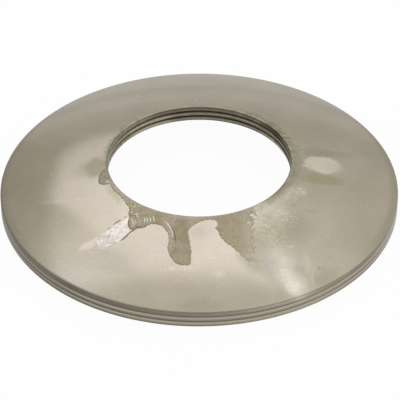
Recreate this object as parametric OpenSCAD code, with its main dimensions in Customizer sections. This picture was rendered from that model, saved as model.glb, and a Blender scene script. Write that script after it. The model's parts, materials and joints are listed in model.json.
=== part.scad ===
// Laminated spherical washer: three thin domed discs of one form, nested on a common axis.
// The origin is on that axis, level with the rim's lowest edge, and the dome rises along +Z.

/* [Disc] */
// Outside diameter of a disc
outer_d = 76.2; // [50:0.1:150]
// Diameter of the bore
bore_d = 34.9; // [10:0.1:60]
// Thickness of the sheet
sheet_t = 1; // [0.8:0.05:2.5]
// Spherical radius of the convex face
dome_r = 97.5; // [50:0.5:500]

/* [Edges] */
// Edge radius on the convex face, where blanking rolled the sheet over
convex_edge_r = 0.35; // [0.1:0.05:0.5]
// Edge radius on the concave face, where the burr was tumbled off
concave_edge_r = 0.2; // [0.1:0.05:0.4]

/* [Stack] */
// Oil film between two discs, at the rim where they come closest
film_t = 0.02; // [0.01:0.01:0.2]

/* [Hidden] */
$fn = 256;
steel = "#b8b2a5";

rim_r = outer_d / 2;
bore_r = bore_d / 2;
hollow_r = dome_r - sheet_t;

// Height above a sphere's centre of its surface, at distance x from the axis
function sphere_z(r, x) = sqrt(r * r - x * x);

// Every disc has the same two spheres, so a pair is closest at the rim and opens towards the bore
stack_pitch = sphere_z(dome_r, rim_r) - sphere_z(hollow_r, rim_r) + film_t;

// Depth of an edge rounding's centre in the metal, as a share of its radius. Just under 1, the round
// runs out into the wall and the face at a slight angle and not in a tangent.
edge_inset = 0.99;
convex_inset = edge_inset * convex_edge_r;
concave_inset = edge_inset * concave_edge_r;

// Centre of an edge's rounding, at that depth from both the wall and the face
function convex_edge_at(wall_x, into) =
    let (x = wall_x + into * convex_inset) [x, sphere_z(dome_r - convex_inset, x)];
function concave_edge_at(wall_x, into) =
    let (x = wall_x + into * concave_inset) [x, sphere_z(hollow_r + concave_inset, x)];

// The lowest point of a disc is under the rounded edge of its rim
foot_z = concave_edge_at(rim_r, -1).y - concave_edge_r;

// What rounding takes off one edge: twice the kite from the rounding's centre to the sharp corner,
// less the round itself. out_wall and out_face point square to the wall and to the face.
module edge_waste(centre, corner, out_wall, out_face, r) {
    translate(centre)
        difference() {
            polygon(2 * [[0, 0], r * out_wall, corner - centre, r * out_face]);
            circle(r = r);
        }
}

// Both edges of one wall, the rim's or the bore's. into is the side of the wall that the metal is on.
module wall_edges_waste(wall_x, into) {
    convex_at = convex_edge_at(wall_x, into);
    edge_waste(convex_at, [wall_x, sphere_z(dome_r, wall_x)],
        [-into, 0], convex_at / norm(convex_at), convex_edge_r);
    concave_at = concave_edge_at(wall_x, into);
    edge_waste(concave_at, [wall_x, sphere_z(hollow_r, wall_x)],
        [-into, 0], -concave_at / norm(concave_at), concave_edge_r);
}

// Half section of one disc, with the spheres' centre at the origin
module disc_section() {
    difference() {
        intersection() {
            difference() {
                circle(r = dome_r);
                circle(r = hollow_r);
            }
            translate([bore_r, 0])
                square([rim_r - bore_r, dome_r]);
        }
        wall_edges_waste(rim_r, -1);
        wall_edges_waste(bore_r, 1);
    }
}

// A disc with this many others under it
module disc(below) {
    color(steel)
        translate([0, 0, below * stack_pitch - foot_z])
            rotate_extrude()
                disc_section();
}

module top_disc() disc(2);
module middle_disc() disc(1);
module bottom_disc() disc(0);

top_disc();
middle_disc();
bottom_disc();
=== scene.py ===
import json
import math

import bpy
from mathutils import Matrix, Quaternion, Vector, noise
from mathutils.kdtree import KDTree


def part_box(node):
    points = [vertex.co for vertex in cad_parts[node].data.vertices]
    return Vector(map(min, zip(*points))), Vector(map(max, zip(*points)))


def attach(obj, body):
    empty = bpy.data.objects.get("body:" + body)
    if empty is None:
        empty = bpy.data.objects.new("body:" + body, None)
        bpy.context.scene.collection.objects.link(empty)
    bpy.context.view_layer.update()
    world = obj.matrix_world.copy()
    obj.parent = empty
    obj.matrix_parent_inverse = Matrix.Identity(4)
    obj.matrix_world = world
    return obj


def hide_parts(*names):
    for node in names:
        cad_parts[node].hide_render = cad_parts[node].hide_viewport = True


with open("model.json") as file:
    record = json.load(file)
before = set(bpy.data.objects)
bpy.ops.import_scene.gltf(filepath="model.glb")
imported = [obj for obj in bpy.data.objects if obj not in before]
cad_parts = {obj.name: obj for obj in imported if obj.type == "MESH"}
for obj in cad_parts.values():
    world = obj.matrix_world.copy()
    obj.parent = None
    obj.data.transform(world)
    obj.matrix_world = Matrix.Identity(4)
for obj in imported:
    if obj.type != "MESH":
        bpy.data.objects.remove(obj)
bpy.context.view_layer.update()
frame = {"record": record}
bpy.context.scene.view_settings.view_transform = "Standard"


# Camera
# A long lens stands in front of the washer, about 46 cm away, and looks down on its domed face.
mm = 0.001
eye = Vector((0, -365.3, 278.2)) * mm
aim = Vector((0.15, -1.67, 0.94)) * mm
camera_roll = math.radians(-0.13)

camera = bpy.data.objects.new("camera", bpy.data.cameras.new("camera"))
bpy.context.scene.collection.objects.link(camera)
bpy.context.scene.camera = camera
camera.data.lens = 214.4
camera.data.sensor_width = 36
camera.data.clip_start = 0.01
camera.location = eye
camera.rotation_mode = "QUATERNION"
camera.rotation_quaternion = (aim - eye).to_track_quat("-Z", "Y") @ Quaternion((0, 0, 1), camera_roll)


# Steel discs
# Three domed washers of one form, blanked from 1 mm sheet, pressed to a sphere and tumbled, so that
# their edges are round. They nest on one axis, with a film of oil between them and no fixing.
foot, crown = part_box("bottom_disc")
rim_r = crown.x
bore_r = frame["record"]["mounts"][0]["dims"]["r_mm"] * mm
dome_r = 97.5 * mm
sheet_t = 1 * mm
convex_edge_r = 0.35 * mm
concave_edge_r = 0.2 * mm
edge_steps = 7
face_steps = 40
turn_steps = 288
weld_gap = 0.0001 * mm
crease_deg = 35


def sphere_z(radius, x):
    """Height of a sphere over its centre, at distance x from the axis."""
    return math.sqrt(radius * radius - x * x)


def select_vertices(piece, chosen):
    """Selects, in edit mode, the vertices whose place the test takes."""
    bpy.ops.object.mode_set(mode="EDIT")
    bpy.ops.mesh.select_mode(type="VERT")
    bpy.ops.mesh.select_all(action="DESELECT")
    bpy.ops.object.mode_set(mode="OBJECT")
    for vertex in piece.data.vertices:
        vertex.select = chosen(vertex.co)
    bpy.ops.object.mode_set(mode="EDIT")


# The half section starts as a flat strip, bent to the two spheres by its vertices
bpy.ops.object.select_all(action="DESELECT")
bpy.ops.mesh.primitive_grid_add(x_subdivisions=face_steps, y_subdivisions=1, size=1)
bottom_disc = bpy.context.object
bottom_disc.name = "bottom_disc_steel"
for vertex in bottom_disc.data.vertices:
    x = bore_r + (vertex.co.x + 0.5) * (rim_r - bore_r)
    vertex.co = (x, 0, sphere_z(dome_r if vertex.co.y > 0 else dome_r - sheet_t, x))

# Each corner is rounded on its own, since the walls meet the faces at four different angles
for wall_x, into in ((bore_r, 1), (rim_r, -1)):
    for face_r, edge_r, side in ((dome_r, convex_edge_r, 1), (dome_r - sheet_t, concave_edge_r, -1)):
        corner = Vector((wall_x, 0, sphere_z(face_r, wall_x)))
        corner_angle = math.pi / 2 - into * side * math.asin(wall_x / face_r)
        select_vertices(bottom_disc, lambda place: (place - corner).length < weld_gap)
        bpy.ops.mesh.bevel(
            offset=edge_r / math.tan(corner_angle / 2),
            segments=edge_steps, affect="VERTICES", profile=0.5)

# The outline alone is spun round the axis
bpy.ops.mesh.select_all(action="SELECT")
bpy.ops.mesh.dissolve_faces()
bpy.ops.mesh.select_all(action="SELECT")
bpy.ops.mesh.delete(type="ONLY_FACE")
bpy.ops.mesh.select_all(action="SELECT")
bpy.ops.mesh.spin(steps=turn_steps, angle=2 * math.pi, center=(0, 0, 0), axis=(0, 0, 1))
bpy.ops.mesh.select_all(action="SELECT")
bpy.ops.mesh.remove_doubles(threshold=weld_gap)
bpy.ops.mesh.normals_make_consistent(inside=False)
bpy.ops.object.mode_set(mode="OBJECT")
bpy.ops.object.shade_smooth_by_angle(angle=math.radians(crease_deg))
lowest = min(vertex.co.z for vertex in bottom_disc.data.vertices)
bottom_disc.data.transform(Matrix.Translation((0, 0, foot.z - lowest)))


def copy_disc(name, node):
    """A copy of the bottom disc with its own mesh, at the height of another node."""
    disc = bottom_disc.copy()
    disc.data = bottom_disc.data.copy()
    disc.name = name
    disc.data.transform(Matrix.Translation((0, 0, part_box(node)[0].z - foot.z)))
    bpy.context.scene.collection.objects.link(disc)
    return disc


middle_disc = copy_disc("middle_disc_steel", "middle_disc")
top_disc = copy_disc("top_disc_steel", "top_disc")


class Shade:
    """A shader socket that takes part in Python sums: each sum adds a Math node to its tree."""

    def __init__(self, tree, socket=None):
        self.tree = tree
        self.socket = socket

    def node(self, kind, settings=None, sockets=None, out=0):
        """Adds a node, sets its settings, then sets or links its sockets, and gives one output."""
        made = self.tree.nodes.new("ShaderNode" + kind)
        for name, value in (settings or {}).items():
            setattr(made, name, value)
        for name, value in (sockets or {}).items():
            if isinstance(value, Shade):
                self.tree.links.new(value.socket, made.inputs[name])
            else:
                made.inputs[name].default_value = value
        return Shade(self.tree, made.outputs[out])

    def noise(self, place, scale, detail):
        """Noise round one half, with so many features to the metre."""
        return self.node("TexNoise", None, {"Vector": place, "Scale": scale, "Detail": detail}, "Fac")

    def mix(self, share, under, over, blend="MIX"):
        """Lays a share of one colour over another; a colour is a shade or three numbers."""
        colours = [colour if isinstance(colour, Shade) else colour + (1,) for colour in (under, over)]
        return self.node("Mix", {"data_type": "RGBA", "blend_type": blend},
                         {0: share, 6: colours[0], 7: colours[1]}, 2)

    def maths(self, operation, first, second=0.0):
        """One sum, on shades or numbers."""
        return self.node("Math", {"operation": operation}, {0: first, 1: second})

    def __add__(self, other):
        return self.maths("ADD", self, other)

    def __sub__(self, other):
        return self.maths("SUBTRACT", self, other)

    def __rsub__(self, other):
        return self.maths("SUBTRACT", other, self)

    def __mul__(self, other):
        return self.maths("MULTIPLY", self, other)

    def __truediv__(self, other):
        return self.maths("DIVIDE", self, other)

    __radd__ = __add__
    __rmul__ = __mul__

    def fade(self, start, end):
        """0 up to start and 1 past end, with a smooth step between; start may be the larger."""
        return self.node("MapRange", {"interpolation_type": "SMOOTHSTEP"},
                         {"Value": self, "From Min": start, "From Max": end})


def new_material(name):
    """An empty node material, and the shade that its nodes start from."""
    material = bpy.data.materials.new(name)
    material.use_nodes = True
    material.node_tree.nodes.clear()
    return material, Shade(material.node_tree)


def show(shader):
    """Links a shader to its material's output."""
    output = shader.tree.nodes.new("ShaderNodeOutputMaterial")
    shader.tree.links.new(shader.socket, output.inputs["Surface"])


# Marks along the edges: old oil and dust on the walls with painted shade over them, darkest in the
# grooves between two discs and low on each wall, which the punch tore rough; olive oil on the bore's lip;
# and painted highlights on the rim
soil_and_shade_w = 0.6 * mm
lip_oil_w = 1.7 * mm
highlight_w = 0.25 * mm


def smooth(value, start, end):
    """0 at start and 1 at end, with a smooth step between."""
    share = min(max((value - start) / (end - start), 0), 1)
    return share * share * (3 - 2 * share)


def leftward(to_right):
    """How far a place lies to the left: 0 in the middle and to the right, 1 at the left."""
    return smooth(-to_right, 0.3, 0.8)


def bright_stretch(to_right):
    """Where the rim's painted highlight is: 1 a third of the way to the right, 0 away from there."""
    return smooth(abs(to_right - 0.36), 0.22, 0.08)


def bore_soil_and_shade(reach, to_right, depth, crevice, right_soil_and_shade):
    """Soil and painted shade on the bore's wall: dark in the grooves, less so at the far left, with the
    two lower discs lighter at the left."""
    far_left = smooth(-to_right, 0.7, 0.9)
    soil_and_shade = 0.32 + 0.5 * smooth(depth, 0.65, 1)
    soil_and_shade += smooth(to_right, 0.6, 0.85) * (0.1 + right_soil_and_shade * smooth(to_right, 0.96, 0.86))
    if crevice:
        soil_and_shade += (0.9 - 0.6 * far_left) * smooth(depth, 0.45, 0.05)
        soil_and_shade += 0.26 * far_left - 0.32 * smooth(-to_right, 0.2, 0.45)
    else:
        soil_and_shade += 0.4 * smooth(abs(depth - 0.3), 0.3, 0)
        soil_and_shade += leftward(to_right) * (0.3 * smooth(depth, 0.12, 0.02) - 0.25)
    return smooth(reach, bore_r + 1.3 * soil_and_shade_w, bore_r) * min(max(soil_and_shade, 0), 1)


def rim_soil_and_shade(reach, to_right, depth, crevice):
    """Soil and painted shade on the rim's wall, most at the left and in the groove under another disc.
    The upper disc has no groove, but a band of painted shade along its face at both sides."""
    wall = min(0.42 - 0.38 * to_right + 0.35 * smooth(to_right, 0.55, 0.85), 0.64)
    wall += (0.3 + 0.15 * crevice) * smooth(depth, 0.6, 1)
    wall -= 0.2 * bright_stretch(to_right) * smooth(depth, 0.8, 0.5)
    if crevice:
        wall *= max(smooth(depth, 0.1, 0.45), 0.6 * leftward(to_right))
        inner = 0.7 * smooth(depth, 0.05, 0) * smooth(reach, rim_r - 2 * soil_and_shade_w, rim_r - soil_and_shade_w)
    else:
        inner = 0.22 * smooth(abs(to_right), 0.75, 0.95) * smooth(depth, 0.3, 0.1)
        inner *= smooth(reach, rim_r - 3 * soil_and_shade_w, rim_r - soil_and_shade_w)
    return max(wall * smooth(reach, rim_r - (0.5 - 0.4 * to_right) * soil_and_shade_w, rim_r), inner)


def lip_oil(reach, to_right, to_back):
    """Olive oil on the lip of the bore: most at the left and the right, little at the front right."""
    right = smooth(to_right, 0.2, 0.7)
    front_right = right * smooth(to_back, -0.2, -0.45)
    right_end = right * smooth(abs(to_back), 0.25, 0.1)
    oil = 0.25 + 0.5 * leftward(to_right) + 0.65 * right - 0.5 * front_right - 0.35 * right_end
    oil_w = lip_oil_w * (0.9 + 0.6 * right - 0.25 * front_right)
    return oil * smooth(reach, bore_r + oil_w, bore_r + (0.3 + 0.3 * front_right) * oil_w)


def edge_highlight(reach, to_right, to_back, depth, crevice):
    """Painted highlight on the upper edge of a lower disc, or along the crest of the upper disc's front
    rim.
    """
    if crevice:
        return 0.8 * smooth(abs(depth - 0.12), 0.12, 0) * smooth(reach, bore_r, rim_r)
    crest = smooth(abs(reach - rim_r + 1.2 * highlight_w), highlight_w, 0) * smooth(depth, 0.3, 0.1)
    return (0.7 + 0.7 * bright_stretch(to_right)) * crest * smooth(to_back, 0.2, -0.3)


def mark_edges(disc, node, crevice, right_soil_and_shade):
    """Marks on each vertex of a disc how much soil and painted shade, oil, and painted highlight it has.
    crevice is 1 under another disc, and right_soil_and_shade is how much more soil and painted shade the
    bore has towards the right."""
    centre = Vector((0, 0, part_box(node)[0].z - lowest))
    for name in ("soil_and_shade", "oil", "highlight"):
        disc.data.attributes.new(name, "FLOAT", "POINT")
    soil_and_shade = disc.data.attributes["soil_and_shade"].data
    oil = disc.data.attributes["oil"].data
    highlight = disc.data.attributes["highlight"].data
    for vertex in disc.data.vertices:
        reach = math.hypot(vertex.co.x, vertex.co.y)
        to_right = vertex.co.x / reach
        to_back = vertex.co.y / reach
        depth = (dome_r - (vertex.co - centre).length) / sheet_t
        on_bore = bore_soil_and_shade(reach, to_right, depth, crevice, right_soil_and_shade)
        on_rim = rim_soil_and_shade(reach, to_right, depth, crevice)
        soil_and_shade[vertex.index].value = max(on_bore, on_rim)
        oil[vertex.index].value = lip_oil(reach, to_right, to_back)
        highlight[vertex.index].value = edge_highlight(reach, to_right, to_back, depth, crevice)


mark_edges(bottom_disc, "bottom_disc", crevice=1, right_soil_and_shade=-0.25)
mark_edges(middle_disc, "middle_disc", crevice=1, right_soil_and_shade=0)
mark_edges(top_disc, "top_disc", crevice=0, right_soil_and_shade=0.3)


def stained(start, place, colour, stains):
    """Lays soft stains on a colour. A stain is its middle, half sizes and turn in plan (mm and degrees),
    how soft its border is, how broken it is by flecks, how strongly it covers, and its colour."""
    if not stains:
        return colour
    sway = start.node("TexNoise", None, {"Vector": place, "Scale": 330.0, "Detail": 4.0}, "Color")
    sway = start.node("VectorMath", {"operation": "SUBTRACT"}, {0: sway, 1: (0.5, 0.5, 0.5)})
    sway = start.node("VectorMath", {"operation": "SCALE"}, {0: sway, "Scale": 2.2 * mm})
    swayed = start.node("VectorMath", {"operation": "ADD"}, {0: place, 1: sway})
    flecks = start.noise(place, 1700, 4).fade(0.5, 0.58)
    for x, y, half_x, half_y, turn, soft, broken, cover, stain_colour in stains:
        spot = start.node("Mapping", {"vector_type": "TEXTURE"}, {
            "Vector": swayed,
            "Location": (x * mm, y * mm, 0),
            "Rotation": (0, 0, math.radians(turn)),
            "Scale": (half_x * mm, half_y * mm, 1)})
        spot = start.node("VectorMath", {"operation": "LENGTH"}, {0: spot}, "Value")
        spot = spot.fade(1 + soft, 1 - soft)
        if broken:
            spot = spot * (1 - broken + broken * flecks)
        colour = start.mix(cover * spot, colour, stain_colour)
    return colour


dim_steel = (0.41, 0.372, 0.295)
bright_steel = (0.455, 0.411, 0.33)
rosy_steel = (0.43, 0.375, 0.315)
steel_grit = (0.93, 0.93, 0.92)
olive = (0.285, 0.264, 0.173)
yellow_olive = (0.43, 0.41, 0.28)
pale = (0.56, 0.515, 0.44)
dirt_and_shade = (0.038, 0.029, 0.017)


def steel_finish(name, stains):
    """Satin steel, mottled and specked by its tumbling, with its edges' soil, painted shade, oil and
    painted highlights, and stains on its face.
    """
    material, start = new_material(name)
    place = start.node("TexCoord", out="Object")
    mottle = start.noise(place, 120, 5)
    tint = start.noise(place, 260, 3)
    grain = start.noise(place, 3200, 3)
    specks = start.noise(place, 620, 2)
    flecks = start.noise(place, 1300, 4)
    soil_and_shade = start.node("Attribute", {"attribute_name": "soil_and_shade"}, out="Fac") * (0.75 + 0.5 * mottle)
    oil = start.node("Attribute", {"attribute_name": "oil"}, out="Fac")
    highlight = start.node("Attribute", {"attribute_name": "highlight"}, out="Fac")
    colour = start.mix(mottle.fade(0.3, 0.7), dim_steel, bright_steel)
    colour = start.mix(0.5 * tint.fade(0.45, 0.75), colour, rosy_steel)
    colour = stained(start, place, colour, stains)
    lip_colour = start.mix(specks.fade(0.5, 0.62), olive, yellow_olive)
    colour = start.mix(oil * (0.3 + 0.8 * flecks.fade(0.42, 0.58)), colour, lip_colour)
    # Pale specks, and the painted highlights along the edges
    colour = start.mix(0.35 * specks.fade(0.7, 0.75) + 0.4 * highlight, colour, pale)
    colour = start.mix(0.9 * grain.fade(0.4, 0.65), colour, steel_grit, "MULTIPLY")
    # Old dirt and painted shade on the walls and in the grooves
    colour = start.mix(soil_and_shade, colour, dirt_and_shade)
    show(start.node("BsdfPrincipled", sockets={
        "Base Color": colour,
        "Metallic": 1 - 0.8 * soil_and_shade,
        "Specular IOR Level": 0.15,
        "Specular Tint": (0.75, 0.75, 0.75, 1),
        "Roughness": 0.12 + 0.08 * (grain - 0.5) + 0.06 * (mottle - 0.5) + 0.4 * soil_and_shade}))
    return material


# What the oil left on the upper face: olive where it dried, grey where it is thin, and pale painted
# highlights where it is wet and mirrors the light
dull = (0.31, 0.29, 0.225)
rosy = (0.43, 0.37, 0.31)
# The colour of the painted highlight on the streak
streak_highlight = (0.65, 0.615, 0.54)
upper_stains = [
    # Left of the bore
    (-19.6, -1.8, 2.1, 2.9, 0, 0.4, 0, 0.85, (0.262, 0.242, 0.172)),
    (-22.2, -1.8, 1.7, 2.3, 0, 0.8, 0, 0.4, (0.28, 0.258, 0.18)),
    # A pale spike of painted highlight at the border of the mirrored panel
    (-27.8, -9.5, 2.4, 0.6, -14, 0.7, 0, 0.3, pale),
    (-15.95, -10.5, 0.8, 2.8, 28, 0.6, 0, 0.5, (0.3, 0.275, 0.19)),
    # The milky patch's pale tail, part of its painted reflection, and what lies under it, to the left of
    # the finger
    (-22.8, -23.5, 2.2, 1.6, 20, 0.7, 0, 0.3, (0.37, 0.34, 0.285)),
    (-20.1, -22.0, 2.1, 0.9, 30, 0.5, 0, 0.85, (0.55, 0.49, 0.42)),
    (-16.5, -26.3, 6.0, 2.4, -12, 0.5, 0, 0.5, (0.34, 0.325, 0.265)),
    (-11.0, -27.2, 2.4, 2.2, 0, 0.7, 0, 0.5, rosy),
    # Along the rim: greyer at the left, dull in the middle and at the right
    (-21.5, -28.5, 6.5, 3.5, -37, 0.7, 0, 0.6, (0.435, 0.405, 0.35)),
    (0.0, -36.6, 4.0, 1.2, 0, 0.6, 0, 0.35, dull),
    (23.2, -28.7, 2.4, 1.7, 40, 0.6, 0, 0.5, (0.33, 0.305, 0.235)),
    # Between the finger and the right patch
    (1.0, -20.4, 1.9, 1.7, 0, 0.7, 0, 0.35, (0.355, 0.33, 0.265)),
    (-0.3, -21.2, 1.1, 1.4, 0, 0.6, 0, 0.4, (0.33, 0.295, 0.25)),
    # Pale flecks in front of the finger and of the right patch
    (-3.3, -29.2, 2.8, 0.6, 0, 0.6, 0.7, 0.6, pale),
    (3.5, -30.5, 0.9, 0.8, 0, 0.7, 0.4, 0.7, pale),
    # Right of the bore: a painted highlight, the light mirrored in a clear wet patch, olive under it,
    # dull above it, and a thin broken film
    (23.4, -0.1, 3.4, 2.5, 28, 0.16, 0, 1.0, (0.65, 0.6, 0.515)),
    (25.5, -0.2, 1.9, 1.7, 0, 0.5, 0, 0.6, (0.58, 0.535, 0.455)),
    (20.5, -1.4, 0.9, 0.6, 15, 0.4, 0, 0.8, (0.6, 0.555, 0.475)),
    (23.1, -4.7, 4.4, 1.5, 8, 0.4, 0, 0.6, (0.335, 0.31, 0.175)),
    (24.0, 4.0, 5.0, 1.2, 14, 0.6, 0, 0.45, dull),
    (18.6, 0.5, 1.0, 6.5, 0, 0.5, 0, 0.25, dull),
    (14.5, -19.5, 6.0, 4.0, 25, 0.6, 0, 0.8, (0.32, 0.30, 0.225)),
    (10.3, -24.9, 2.9, 4.2, 0, 0.5, 0, 0.9, (0.275, 0.258, 0.185)),
    (15.8, -16.6, 3.8, 2.4, 25, 0.5, 0.95, 0.5, (0.5, 0.46, 0.375)),
    (12.5, -22.0, 4.0, 2.5, 25, 0.5, 0.95, 0.55, (0.27, 0.25, 0.17)),
    (12.4, -18.6, 2.0, 3.6, 20, 0.5, 0.95, 0.6, (0.26, 0.24, 0.165)),
    (15.6, -15.6, 1.3, 2.0, -26, 0.6, 0.5, 0.5, pale),
    # Grey along the lip of the bore there
    (12.0, -14.0, 2.6, 0.7, 40, 0.5, 0, 0.6, (0.27, 0.25, 0.185)),
    (15.3, -9.4, 5.2, 0.7, 58, 0.5, 0, 0.8, (0.275, 0.255, 0.205)),
    # Flecks beside that lip and further back
    (17.9, -10.2, 1.3, 2.6, -30, 0.5, 0.6, 0.9, (0.62, 0.57, 0.49)),
    (17.6, -12.2, 1.1, 2.4, -26, 0.5, 0.9, 0.7, (0.29, 0.265, 0.185)),
    (17.0, 9.2, 1.2, 2.4, 28, 0.5, 0.95, 0.6, (0.5, 0.47, 0.34)),
    (19.0, 5.0, 1.0, 2.8, 15, 0.5, 0.95, 0.6, (0.5, 0.47, 0.34)),
    # A painted highlight on the wet streak that runs down the dome at the right, with grey under it and
    # thin marks beside it, the pale ones also painted highlight
    (15.8, -27.3, 4.5, 2.2, -20, 0.7, 0, 0.35, (0.47, 0.445, 0.39)),
    (18.9, -27.6, 2.4, 2.0, 0, 0.7, 0, 0.3, (0.5, 0.47, 0.42)),
    (13.2, -28.4, 2.1, 2.1, 0, 0.7, 0, 0.5, (0.275, 0.258, 0.21)),
    (16.7, -30.8, 1.9, 3.3, 36, 0.6, 0.3, 0.7, streak_highlight),
    (18.3, -31.6, 1.9, 1.7, 30, 0.6, 0.4, 0.4, streak_highlight),
    (17.2, -31.7, 1.2, 1.9, 38, 0.6, 0.3, 0.7, (0.76, 0.72, 0.64)),
    (18.2, -27.8, 1.3, 0.8, 30, 0.6, 0, 0.2, dull),
    (22.3, -27.0, 0.9, 0.45, 10, 0.5, 0.95, 0.5, (0.25, 0.22, 0.15)),
    (15.9, -26.6, 1.3, 1.0, 0, 0.6, 0, 0.4, pale),
    (19.7, -25.8, 0.8, 1.6, 10, 0.6, 0, 0.4, pale),
    (20.7, -29.6, 0.25, 1.6, 5, 0.5, 0, 0.5, pale),
    # A thin olive line further up
    (20.3, -13.95, 1.2, 0.2, -25, 0.6, 0, 0.4, olive),
]
lower_finish = steel_finish("satin_steel", [])
upper_finish = steel_finish("stained_steel", upper_stains)
for disc, node, finish in (
        (bottom_disc, "bottom_disc", lower_finish),
        (middle_disc, "middle_disc", lower_finish),
        (top_disc, "top_disc", upper_finish)):
    disc.data.materials.append(finish)
    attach(disc, "root")
    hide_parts(node)


# Oil film
# Preserving oil that ran out of the bore on to the upper disc and dried to a thin olive skin, with a
# finger that runs down the dome, ridges where it gathered, painted pale as highlights, dark lines of dirt
# and painted shade along its borders, and one wet, milky patch whose pale colour is a painted reflection.
plate_t = 0.5
film_sink = 0.03
bore_lip = 17.4
bead_end = 0.4
curve_steps = 8
oil_grit = (0.84, 0.84, 0.82)
top_centre_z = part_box("top_disc")[0].z - lowest
lip_x = bore_r + convex_edge_r
lip_z = sphere_z(dome_r - convex_edge_r, lip_x)
lip_lean = math.asin(lip_x / (dome_r - convex_edge_r))


def bore_arc(radius, start_deg, end_deg, step_deg=6):
    """Points in plan along a circle round the bore, in mm."""
    count = max(2, round(abs(end_deg - start_deg) / step_deg))
    angles = [math.radians(start_deg + (end_deg - start_deg) * k / count) for k in range(count + 1)]
    return [(radius * math.cos(angle), radius * math.sin(angle)) for angle in angles]


def film_curve(points, depth, closed):
    """A smooth curve through points in plan, in mm: a closed one is a plate, an open one a round bead."""
    data = bpy.data.curves.new("film", "CURVE")
    data.dimensions = "2D" if closed else "3D"
    data.resolution_u = curve_steps
    spline = data.splines.new("BEZIER")
    spline.bezier_points.add(len(points) - 1)
    for knot, (x, y) in zip(spline.bezier_points, points):
        knot.co = (x, y, 0)
        knot.handle_left_type = "AUTO"
        knot.handle_right_type = "AUTO"
    spline.use_cyclic_u = closed
    if closed:
        data.fill_mode = "BOTH"
        data.extrude = depth
    else:
        data.bevel_depth = depth
        data.use_fill_caps = True
        spline.bezier_points[0].radius = bead_end
        spline.bezier_points[-1].radius = bead_end
    curve = bpy.data.objects.new("film", data)
    bpy.context.scene.collection.objects.link(curve)
    return curve


def curves_to_mesh(name, curves):
    """Turns curves in plan into one mesh."""
    bpy.ops.object.select_all(action="DESELECT")
    for curve in curves:
        curve.select_set(True)
    bpy.context.view_layer.objects.active = curves[0]
    bpy.ops.object.convert(target="MESH")
    if len(curves) > 1:
        bpy.ops.object.join()
    piece = bpy.context.object
    piece.name = name
    return piece


def melt(piece, voxel, rounding):
    """Melts a mesh into one even, rounded skin."""
    remesh = piece.modifiers.new("melt", "REMESH")
    remesh.mode = "VOXEL"
    remesh.voxel_size = voxel
    remesh.use_smooth_shade = True
    bpy.ops.object.modifier_apply(modifier="melt")
    soften = piece.modifiers.new("soften", "SMOOTH")
    soften.factor = 0.5
    soften.iterations = rounding
    bpy.ops.object.modifier_apply(modifier="soften")


def lay_on_steel(x, y, height):
    """A point of the plan, in mm, laid at a height over the upper disc: on its dome, or past the bore's
    edge round that edge and down the wall."""
    reach = math.hypot(x, y) * mm
    lean = math.asin(min(reach, rim_r) / dome_r)
    over = dome_r * math.sin(lip_lean) - reach
    if over <= 0:
        r = dome_r * math.sin(lean)
        z = dome_r * math.cos(lean)
    else:
        lean = max(lip_lean - over / convex_edge_r, -math.pi / 2)
        down = max(over - convex_edge_r * (lip_lean + math.pi / 2), 0)
        r = lip_x + convex_edge_r * math.sin(lean)
        z = lip_z + convex_edge_r * math.cos(lean) - down
    r += height * mm * math.sin(lean)
    z += height * mm * math.cos(lean)
    turn = math.atan2(y, x)
    return Vector((r * math.cos(turn), r * math.sin(turn), z + top_centre_z))


def dress_film(piece, material):
    """Gives a film its material and its place on the washer."""
    piece.data.materials.clear()
    piece.data.materials.append(material)
    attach(piece, "root")


def oil_patch(name, outline, feather, height, material):
    """A skin of oil inside an outline in plan, height(x, y) mm thick, that runs out to nothing over the
    feather along its ragged border. Its back lies just in the steel."""
    piece = curves_to_mesh(name, [film_curve(outline, plate_t / 2, closed=True)])
    border = KDTree(len(piece.data.vertices))
    for vertex in piece.data.vertices:
        border.insert((vertex.co.x, vertex.co.y, 0), vertex.index)
    border.balance()
    melt(piece, voxel=0.09, rounding=3)
    for vertex in piece.data.vertices:
        x, y, level = vertex.co
        spot = Vector((x, y, 0))
        inset = border.find(spot)[2]
        fray = 0.25 * noise.noise(2 * spot) + 0.12 * noise.noise(5 * spot)
        share = smooth(inset, 0, 0.15) * smooth(inset + fray, -0.1, feather)
        top = (height(x, y) + film_sink) * share - film_sink
        part = min(max(level / plate_t + 0.5, 0), 1)
        vertex.co = lay_on_steel(x, y, part * top - (1 - part) * 2 * film_sink)
    dress_film(piece, material)


def oil_beads(name, lines, radius, middle, flatness, material):
    """Fine beads of oil along lines in plan, flattened, with their middle at a height over the steel."""
    piece = curves_to_mesh(name, [film_curve(line, radius, closed=False) for line in lines])
    melt(piece, voxel=0.05, rounding=2)
    for vertex in piece.data.vertices:
        x, y, level = vertex.co
        vertex.co = lay_on_steel(x, y, middle + flatness * level)
    dress_film(piece, material)


def film_finish(name, dark, light, scale, grit, metallic, roughness, stains):
    """Oil, clouded between two colours, gritty and stained."""
    material, start = new_material(name)
    place = start.node("TexCoord", out="Object")
    clouds = start.noise(place, scale, 4)
    grain = start.noise(place, 2600, 2)
    colour = start.mix(clouds.fade(0.36, 0.64), dark, light)
    colour = stained(start, place, colour, stains)
    colour = start.mix(grit * grain.fade(0.4, 0.65), colour, oil_grit, "MULTIPLY")
    waves = start.node("Bump", sockets={
        "Strength": 0.25 * grit, "Distance": 0.05 * mm, "Height": clouds + 0.2 * grain})
    show(start.node("BsdfPrincipled", sockets={
        "Base Color": colour,
        "Metallic": metallic,
        "Roughness": roughness + 0.1 * (clouds - 0.5),
        "Normal": waves}))
    return material


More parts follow.
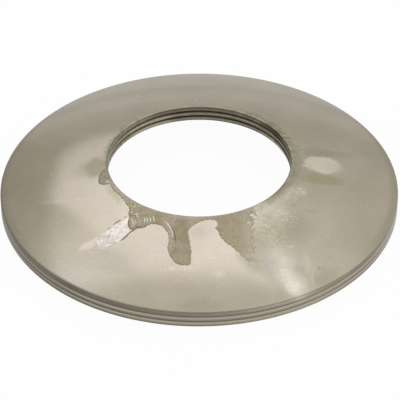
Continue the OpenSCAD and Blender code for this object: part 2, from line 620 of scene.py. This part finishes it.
cream = (0.55, 0.51, 0.40)
brown = (0.15, 0.128, 0.08)
front_stains = [
    # Grey on the lip of the bore, and flecks along the strip that follows it
    (0, 0, 18.1, 18.1, 0, 0.02, 0, 0.5, (0.335, 0.32, 0.27)),
    (-15.2, -10.2, 0.9, 3.2, 28, 0.5, 0.95, 0.5, cream),
    # The raised left side of the finger, its brown middle and its olive foot
    (-5.5, -23.2, 0.5, 3.4, 0, 0.5, 0, 0.7, (0.34, 0.295, 0.235)),
    (-2.7, -21.0, 0.8, 3.0, 0, 0.6, 0, 0.75, (0.225, 0.19, 0.105)),
    (-3.0, -27.2, 1.8, 1.2, 0, 0.5, 0, 0.7, (0.31, 0.275, 0.165)),
    # Green along the bore, brown at the left end, ochre between the beads, and flecks all through
    (-7.5, -16.9, 2.4, 0.5, 4, 0.5, 0, 0.6, (0.24, 0.235, 0.11)),
    (-12.7, -17.6, 0.6, 1.3, 0, 0.5, 0, 0.5, (0.21, 0.18, 0.11)),
    (-12.75, -14.3, 0.5, 0.5, 0, 0.5, 0, 0.6, (0.26, 0.2, 0.08)),
    (-12.3, -16.5, 1.4, 3.0, 0, 0.6, 0.95, 0.6, cream),
    (-15.4, -9.6, 1.1, 3.6, 35, 0.5, 0, 0.5, (0.34, 0.31, 0.24)),
    (-18.2, -5.4, 1.1, 1.6, 0, 0.5, 0, 0.6, (0.255, 0.215, 0.16)),
    (-17.5, -5.6, 0.5, 0.7, 0, 0.5, 0.9, 0.6, brown),
    (-17.4, -6.6, 0.35, 0.25, 0, 0.5, 0, 0.8, cream),
    # The right patch: olive by the bore, grey in the middle, yellow at the foot, thin to the right
    (4.2, -18.6, 1.4, 1.2, 0, 0.6, 0, 0.5, (0.25, 0.22, 0.125)),
    (7.0, -20.8, 2.0, 2.2, 0, 0.6, 0, 0.65, (0.265, 0.225, 0.14)),
    (6.5, -24.2, 0.9, 1.0, 0, 0.5, 0, 0.8, (0.27, 0.245, 0.125)),
    (12.0, -22.5, 3.6, 8.0, 0, 0.8, 0, 1.0, (0.355, 0.325, 0.24)),
    (9.8, -26.8, 1.7, 1.6, 0, 0.7, 0, 0.9, (0.37, 0.335, 0.255)),
]


def front_height(x, y):
    """The front film is thicker at the left, and breaks up into islands at the right."""
    spot = Vector((x, y, 0))
    break_up = smooth(x + 1.6 * noise.noise(1.2 * spot) + noise.noise(3.1 * spot), 9.2, 10.8)
    return (0.025 + 0.025 * smooth(x, -1, -6)) * (1 - break_up) - film_sink * break_up


olive_oil = film_finish(
    "olive_oil", dark=(0.235, 0.2, 0.12), light=(0.295, 0.248, 0.178), scale=520,
    grit=1.0, metallic=0.6, roughness=0.2, stains=front_stains)
front_film = (
    # The blob at the left and the strip along the bore
    [(-17.3, -2.6), (-18.3, -3.0), (-18.9, -4.0), (-19.1, -5.2), (-19.1, -6.4), (-18.7, -7.2),
     (-17.8, -7.5), (-17.0, -7.6), (-16.6, -8.4), (-16, -9.5), (-15, -11.1), (-14.2, -12.6),
     (-13.7, -13.7), (-13.2, -14.6), (-13.05, -15.7), (-13.15, -16.9), (-13.3, -17.9), (-13.1, -19),
     (-12.8, -20)]
    # The arch to the finger
    + [(-12.4, -20.2), (-11.5, -19.85), (-10.6, -19.7), (-9.65, -19.5), (-8.4, -19.3), (-7.3, -19.6),
       (-6.5, -20.5), (-5.95, -21.4), (-5.75, -22.7)]
    # The finger
    + [(-5.9, -24.5), (-5.6, -26.3), (-5.1, -27.3), (-4.3, -28.3), (-2.9, -28.8), (-1.6, -28.6),
       (-1.35, -27), (-1.3, -25.5), (-1.5, -23.9), (-1.7, -22.3), (-1.8, -21.2)]
    # The bay to the right of the finger
    + [(-1.35, -20.45), (-0.55, -19.7), (0.4, -19.1), (1.3, -18.8), (2.7, -18.75)]
    # The right patch
    + [(3.05, -19.1), (3.05, -19.9), (2.75, -20.45), (3.35, -21.5), (3.6, -22.4), (4.4, -23.4),
       (5.2, -24.2), (5.9, -24.85), (6.7, -25.6), (7.6, -26.6), (8.5, -27.6), (9.5, -27.8),
       (10.9, -27.4), (12.2, -25.6), (12.8, -22.6), (12.4, -19.4), (11.6, -16.6), (10.8, -15.2)]
    + bore_arc(bore_lip, start_deg=-55, end_deg=-169))
oil_patch("oil_film_front", front_film, feather=0.45, height=front_height, material=olive_oil)

# Beads painted pale as highlights: the line down the finger, the ripples, and the flecks at the left end
bead_lines = [
    [(-6.4, -18.5), (-5.95, -19.15), (-5.5, -19.9), (-5.15, -20.8), (-4.95, -21.75), (-4.75, -22.75)],
    [(-5.0, -23.3), (-4.9, -23.5)],
    [(-4.65, -24.0), (-4.55, -24.8)],
    [(-10.25, -17.2), (-10.05, -17.9), (-10.15, -18.6)],
    [(-9.8, -17.2), (-9.6, -17.9), (-9.6, -18.7)],
    [(-9.2, -17.1), (-9.05, -17.9), (-8.9, -18.7)],
    [(-8.55, -17.1), (-8.4, -17.9), (-8.35, -18.7)],
    [(-12.75, -15.95), (-12.5, -15.55)],
    [(-12.1, -15.45), (-11.9, -15.85)],
    [(-12.5, -16.35), (-12.0, -16.5)],
    [(-14.15, -12.15), (-13.85, -12.5)],
    [(-13.6, -13.0), (-13.2, -13.2)],
    [(-17.7, -6.85), (-17.35, -6.95)],
    [(-12.75, -19.4), (-12.1, -19.2)],
]
pale_glint_oil = film_finish(
    "pale_glint_oil", dark=(0.58, 0.53, 0.42), light=(0.76, 0.71, 0.61), scale=900,
    grit=0.8, metallic=0.4, roughness=0.15, stains=[])
oil_beads("oil_ridges", bead_lines, radius=0.16, middle=0.03, flatness=0.5, material=pale_glint_oil)

# Dark lines of dirt and painted shade along the borders of the film and of the milky patch and round the
# cells at the left end, and painted shade beside the ripples and beside the line down the finger
dirt_and_shade_lines = [
    [(-13.4, -16.5), (-14.0, -17.0)],
    [(-14.4, -17.3), (-15.0, -17.6), (-15.95, -18.3)],
    [(-16.5, -18.8), (-16.95, -19.2)],
    [(-11.4, -19.75), (-12.1, -20.15), (-12.8, -20.65), (-13.7, -21.7), (-14.5, -22.25)],
    [(-12.9, -15.1), (-12.95, -16.4), (-11.95, -16.65), (-11.6, -17.2), (-10.3, -17.4)],
    [(-12.9, -17.2), (-13.1, -18.0), (-12.8, -19.5), (-12.2, -19.8), (-11.6, -19.5)],
    [(-11.8, -17.3), (-11.4, -18.4), (-11.6, -19.5), (-11.0, -19.7), (-9.9, -19.5), (-9.4, -18.7)],
    [(-5.75, -18.9), (-5.05, -20.2), (-4.6, -21.6), (-4.35, -23), (-4.2, -24.4)],
    [(-9.95, -17.1), (-9.85, -18.6)],
    [(-9.35, -17.1), (-9.25, -18.7)],
    [(-8.75, -17.2), (-8.6, -18.7)],
    [(-8.1, -17.3), (-8.0, -18.5)],
    [(-18.9, -5.8), (-18.8, -6.6), (-18.5, -7.05), (-17.8, -7.3), (-17.0, -7.4)],
    [(-16.3, -8.8), (-15.7, -10.0)],
    [(-13.9, -12.7), (-13.5, -12.9)],
]
dirt_and_shade_oil = film_finish(
    "dirt_and_shade_oil", dark=brown, light=(0.25, 0.215, 0.145), scale=900,
    grit=1.0, metallic=0.5, roughness=0.3, stains=[])
oil_beads("oil_seams", dirt_and_shade_lines, radius=0.11, middle=0.03, flatness=0.4, material=dirt_and_shade_oil)

# The wet, milky patch beside the left end of the film, its pale colour a painted reflection of the light
grey_milk = (0.42, 0.39, 0.37)
milk_stains = [
    (-16.6, -20.9, 0.3, 0.5, 0, 0.6, 0, 0.8, grey_milk),
    (-16.6, -22.5, 0.8, 0.25, 0, 0.6, 0, 0.7, grey_milk),
    (-15.2, -22.5, 0.3, 0.4, 0, 0.6, 0, 0.6, grey_milk),
    (-17.6, -22.2, 1.6, 2.0, 0, 0.5, 0.9, 0.4, grey_milk),
]
milky_reflection = film_finish(
    "milky_reflection", dark=(0.58, 0.54, 0.485), light=(0.78, 0.735, 0.665), scale=1300,
    grit=0.6, metallic=0.5, roughness=0.25, stains=milk_stains)
left_patch = [
    (-13.2, -17.0), (-14.6, -17.7), (-15.8, -18.3), (-16.7, -19.0), (-17.6, -19.6), (-18.4, -20.0),
    (-18.6, -21.0), (-19.3, -21.4), (-18.9, -22.5), (-18.5, -23.6), (-17.7, -23.8), (-16.6, -23.3),
    (-15.7, -23.1), (-14.9, -22.6), (-14.0, -21.7), (-13.0, -20.8), (-12.8, -19.6), (-12.9, -18.4)]
oil_patch("wet_oil_left", left_patch, feather=0.35, height=lambda x, y: 0.04, material=milky_reflection)


# Floor
# A wide white sheet under the washer. To the camera and in the steel it glows nearly white, and it
# still takes the washer's shadow.
glow_share = 0.955
bpy.ops.object.select_all(action="DESELECT")
bpy.ops.mesh.primitive_plane_add(size=8, location=(0, 0, foot.z))
floor = bpy.context.object
floor.name = "floor"
material, start = new_material("white_floor")
seen = start.node("LightPath", out="Is Camera Ray")
seen = start.maths("MAXIMUM", seen, start.node("LightPath", out="Is Glossy Ray"))
seen = start.maths("MAXIMUM", seen, start.node("LightPath", out="Is Transmission Ray"))
paper = start.node("BsdfDiffuse", sockets={"Color": (0.9, 0.9, 0.9, 1)})
glow = start.node("Emission", sockets={"Color": (1, 1, 1, 1), "Strength": 1.0})
show(start.node("MixShader", sockets={0: glow_share * seen, 1: paper, 2: glow}))
floor.data.materials.append(material)


# Light
# A bright studio all round, dim behind the camera and in the left corner, with one long soft panel
# overhead and behind the washer that the dome mirrors in its near half.
world = bpy.data.worlds.new("studio")
bpy.context.scene.world = world
world.use_nodes = True
world.node_tree.nodes.clear()
start = Shade(world.node_tree)
towards = start.node("TexCoord", out="Generated")


def facing(direction):
    """How far a ray points to one side of the studio: 1 straight at it, 0 square to it."""
    return start.node("VectorMath", {"operation": "DOT_PRODUCT"},
                      {0: towards, 1: Vector(direction).normalized()}, "Value")


up = facing((0, 0, 1))
dark_corner = facing((-0.72, 0.66, 0.2)).fade(0.8, 0.95)
camera_side = facing((0, -0.8, 0.6)).fade(0.4, 0.85)
overhead = facing((0, 0.2, 0.98)).fade(0.7, 0.95)
right_wall = facing((0.62, 0.45, 0.64)).fade(0.8, 0.97)
horizon = up.fade(0.12, 0)
far_wall = facing((0, 1, 0)).fade(0.88, 0.97) * up.fade(0.3, 0.1)
studio = 0.8 + 0.24 * overhead + 0.105 * right_wall + 0.15 * far_wall
studio = studio - 0.175 * dark_corner - 0.14 * camera_side - 0.1 * horizon

# The panel's outline on a ceiling one unit up: its two long edges, its near edge with a dim left
# corner, and its far edge, towards which it fades
height = start.maths("MAXIMUM", up, 0.05)
across = facing((1, 0, 0)) / height
along = facing((0, 1, 0)) / height
left_edge = (across + 0.146 * along).fade(-0.61, -0.475)
right_edge = (across + 0.06 * along).fade(0.42, 0.27)
near_edge = along.fade(0.18, 0.34)
dim = 0.33 + 0.29 * along.fade(0.85, 0.45)
left_corner = dim + (1 - dim) * (0.873 * across + 0.488 * along).fade(-0.075, -0.045)
far_edge = along.fade(2.6, 2.1) * (1 - 0.45 * along.fade(0.9, 2.2))
panel = left_edge * right_edge * near_edge * left_corner * far_edge * up.fade(0.05, 0.15)
studio = studio + 0.63 * panel

# Each part of the studio has its tint, and the camera itself sees plain white
seen = start.node("LightPath", out="Is Camera Ray")
colour = start.mix(dark_corner, (1.005, 1, 0.965), (1.03, 1, 0.92))
colour = start.mix(far_wall, colour, (1.01, 1, 1.01))
colour = start.mix(panel, colour, (1.015, 1, 1.05))
colour = start.mix(seen, colour, (1, 1, 1))
strength = start.maths("MAXIMUM", studio, seen)
background = start.node("Background", sockets={"Color": colour, "Strength": strength})
output = start.tree.nodes.new("ShaderNodeOutputWorld")
start.tree.links.new(background.socket, output.inputs["Surface"])
